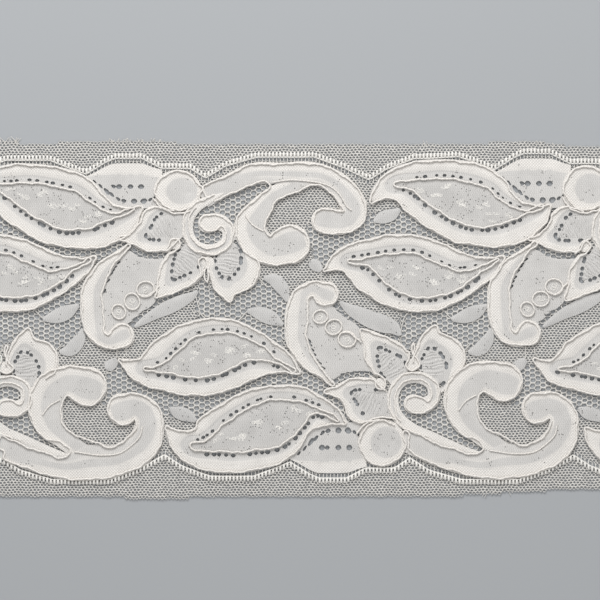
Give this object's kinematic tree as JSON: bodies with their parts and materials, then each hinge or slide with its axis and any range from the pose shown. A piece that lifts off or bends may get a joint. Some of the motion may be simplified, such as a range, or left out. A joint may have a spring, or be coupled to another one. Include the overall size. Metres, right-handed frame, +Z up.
{
  "type": "corded lace trim",
  "caption": "Flat cut length of corded lace trim: a net with leaves, flowers and scrolls of close clothwork, outlined with sewn-on cord, for sewing onto clothes and linen.",
  "frame": {"origin": "middle of the trim's underside, where it lies on a surface", "axes": "+X along the trim, +Y across it, +Z up out of the corded face"},
  "size_m": [0.294, 0.1278, 0.0024],
  "materials": {
    "lace": "matt cream-white knitted net and clothwork",
    "cord": "soft cream-white twisted outline cord"
  },
  "bodies": {
    "root": {"lace_ground": "lace", "lower_row_1_disc_cord_1": "cord", "lower_row_1_leaf_outer_heart_cord_1": "cord", "lower_row_1_leaf_outer_heart_cord_2": "cord", "lower_row_1_leaf_outer_rim_cord_1": "cord", "lower_row_1_leaf_outer_rim_cord_2": "cord", "lower_row_1_petal_low_cord_1": "cord", "lower_row_1_petal_pair_cord_1": "cord", "lower_row_1_ring_chain_cord_1": "cord", "lower_row_1_scroll_cord_1": "cord", "lower_row_1_sepal_cord_1": "cord", "lower_row_1_sepal_cord_2": "cord", "lower_row_1_spiral_cord_1": "cord", "lower_row_2_disc_cord_1": "cord", "lower_row_2_leaf_inner_heart_cord_1": "cord", "lower_row_2_leaf_inner_rim_cord_1": "cord", "lower_row_2_leaf_outer_heart_cord_1": "cord", "lower_row_2_leaf_outer_rim_cord_1": "cord", "lower_row_2_petal_low_cord_1": "cord", "lower_row_2_petal_pair_cord_1": "cord", "lower_row_2_ring_chain_cord_1": "cord", "lower_row_2_scroll_cord_1": "cord", "lower_row_2_sepal_cord_1": "cord", "lower_row_2_spiral_cord_1": "cord", "lower_row_3_leaf_inner_heart_cord_1": "cord", "lower_row_3_leaf_inner_rim_cord_1": "cord", "lower_row_3_leaf_outer_heart_cord_1": "cord", "lower_row_3_leaf_outer_rim_cord_1": "cord", "lower_row_3_sepal_cord_1": "cord", "upper_row_0_scroll_cord_1": "cord", "upper_row_0_scroll_cord_2": "cord", "upper_row_1_disc_cord_1": "cord", "upper_row_1_leaf_inner_heart_cord_1": "cord", "upper_row_1_leaf_inner_rim_cord_1": "cord", "upper_row_1_leaf_outer_heart_cord_1": "cord", "upper_row_1_leaf_outer_rim_cord_1": "cord", "upper_row_1_petal_low_cord_1": "cord", "upper_row_1_petal_pair_cord_1": "cord", "upper_row_1_ring_chain_cord_1": "cord", "upper_row_1_scroll_cord_1": "cord", "upper_row_1_sepal_cord_1": "cord", "upper_row_1_spiral_cord_1": "cord", "upper_row_2_disc_cord_1": "cord", "upper_row_2_leaf_inner_heart_cord_1": "cord", "upper_row_2_leaf_inner_rim_cord_1": "cord", "upper_row_2_leaf_outer_heart_cord_1": "cord", "upper_row_2_leaf_outer_rim_cord_1": "cord", "upper_row_2_petal_low_cord_1": "cord", "upper_row_2_petal_pair_cord_1": "cord", "upper_row_2_ring_chain_cord_1": "cord", "upper_row_2_scroll_cord_1": "cord", "upper_row_2_scroll_cord_2": "cord", "upper_row_2_scroll_cord_3": "cord", "upper_row_2_sepal_cord_1": "cord", "upper_row_2_spiral_cord_1": "cord"}
  },
  "joints": []
}
